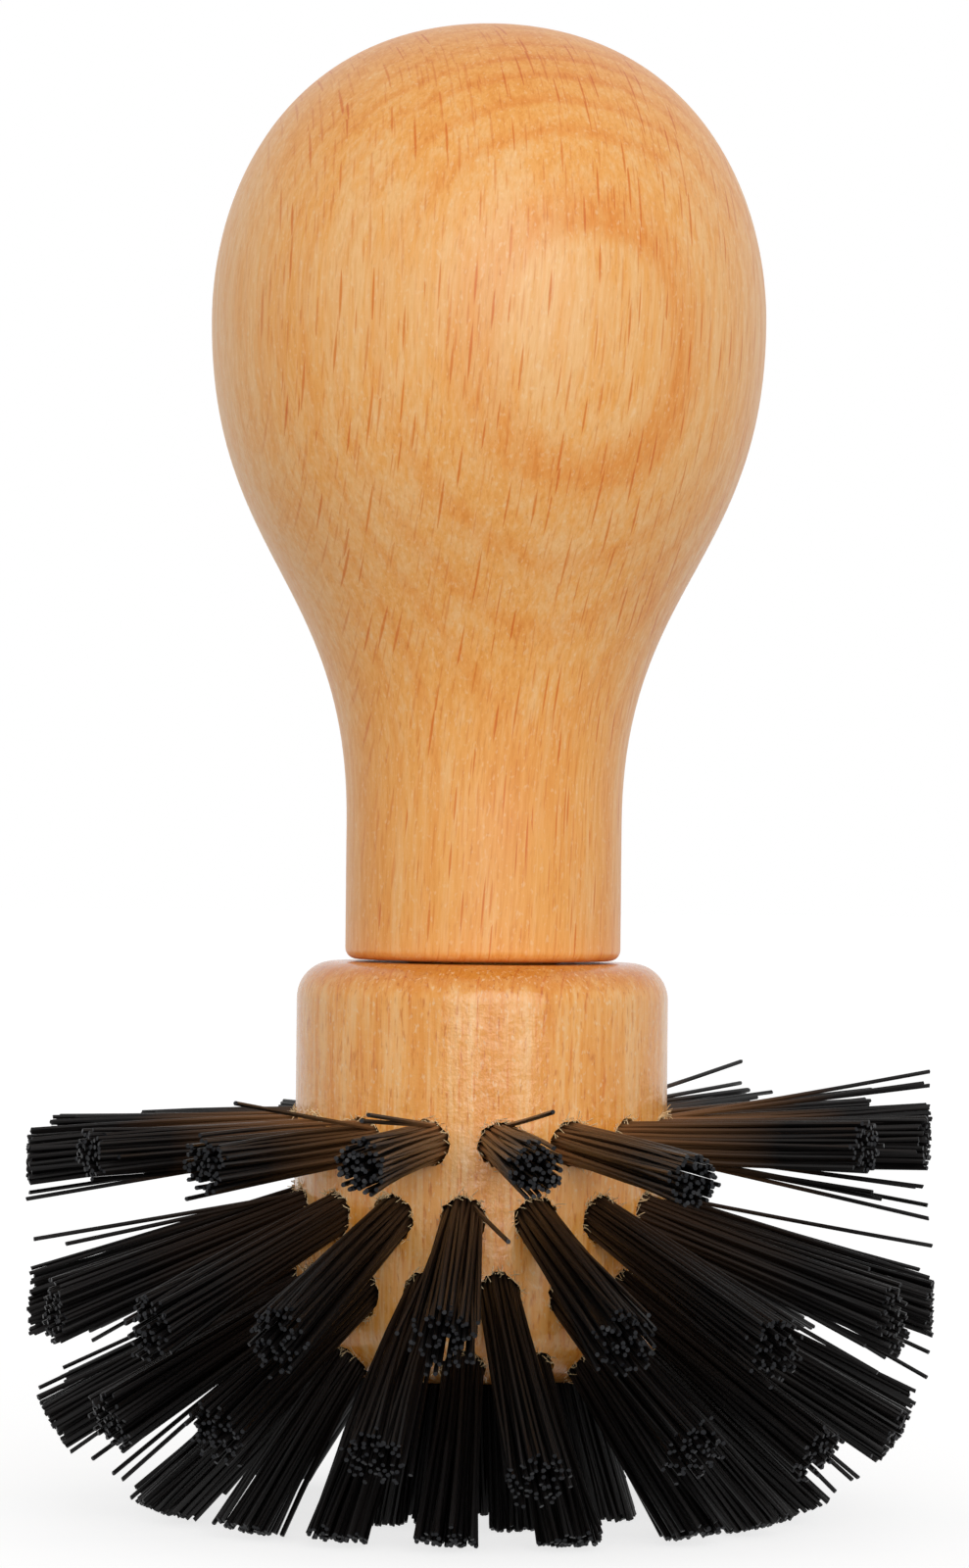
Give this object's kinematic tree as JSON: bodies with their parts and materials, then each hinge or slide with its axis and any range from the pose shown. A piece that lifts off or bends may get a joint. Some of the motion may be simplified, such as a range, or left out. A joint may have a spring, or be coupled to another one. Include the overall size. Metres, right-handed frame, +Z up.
{
  "type": "coffee machine cleaning brush",
  "caption": "Short wooden cleaning brush with a knob handle, a drilled round head and stiff black bristle tufts all round and over its end, trimmed to fit a coffee machine's filter basket.",
  "frame": {"origin": "centre of the flat end that the bristles are trimmed to, on which the brush stands", "axes": "+Z up the brush's axis from the bristles to the top of the knob; -Y is the pictured front"},
  "size_m": [0.062, 0.062, 0.1015],
  "materials": {
    "handle_wood": "lightly waxed beech",
    "head_wood": "waxed beech",
    "dowel_wood": "raw beech",
    "bristle": "matt",
    "anchor_wire": "drawn wire"
  },
  "bodies": {
    "root": {"handle_knob": "handle_wood", "dowel": "dowel_wood", "brush_head": "head_wood", "bristle_row_1": "bristle", "bristle_row_2": "bristle", "bristle_row_3": "bristle", "bristle_row_4": "bristle", "end_tuft_centre": "bristle", "end_tuft_inner_1": "bristle", "end_tuft_inner_2": "bristle", "end_tuft_inner_3": "bristle", "end_tuft_inner_4": "bristle", "end_tuft_inner_5": "bristle", "end_tuft_inner_6": "bristle", "end_tuft_outer_1": "bristle", "end_tuft_outer_2": "bristle", "end_tuft_outer_3": "bristle", "end_tuft_outer_4": "bristle", "end_tuft_outer_5": "bristle", "end_tuft_outer_6": "bristle", "end_tuft_outer_7": "bristle", "end_tuft_outer_8": "bristle", "end_tuft_outer_9": "bristle", "end_tuft_outer_10": "bristle", "end_tuft_outer_11": "bristle", "end_tuft_outer_12": "bristle", "end_anchor_centre": "anchor_wire", "end_anchor_inner_1": "anchor_wire", "end_anchor_inner_2": "anchor_wire", "end_anchor_inner_3": "anchor_wire", "end_anchor_inner_4": "anchor_wire", "end_anchor_inner_5": "anchor_wire", "end_anchor_inner_6": "anchor_wire", "end_anchor_outer_1": "anchor_wire", "end_anchor_outer_2": "anchor_wire", "end_anchor_outer_3": "anchor_wire", "end_anchor_outer_4": "anchor_wire", "end_anchor_outer_5": "anchor_wire", "end_anchor_outer_6": "anchor_wire", "end_anchor_outer_7": "anchor_wire", "end_anchor_outer_8": "anchor_wire", "end_anchor_outer_9": "anchor_wire", "end_anchor_outer_10": "anchor_wire", "end_anchor_outer_11": "anchor_wire", "end_anchor_outer_12": "anchor_wire"}
  },
  "joints": []
}
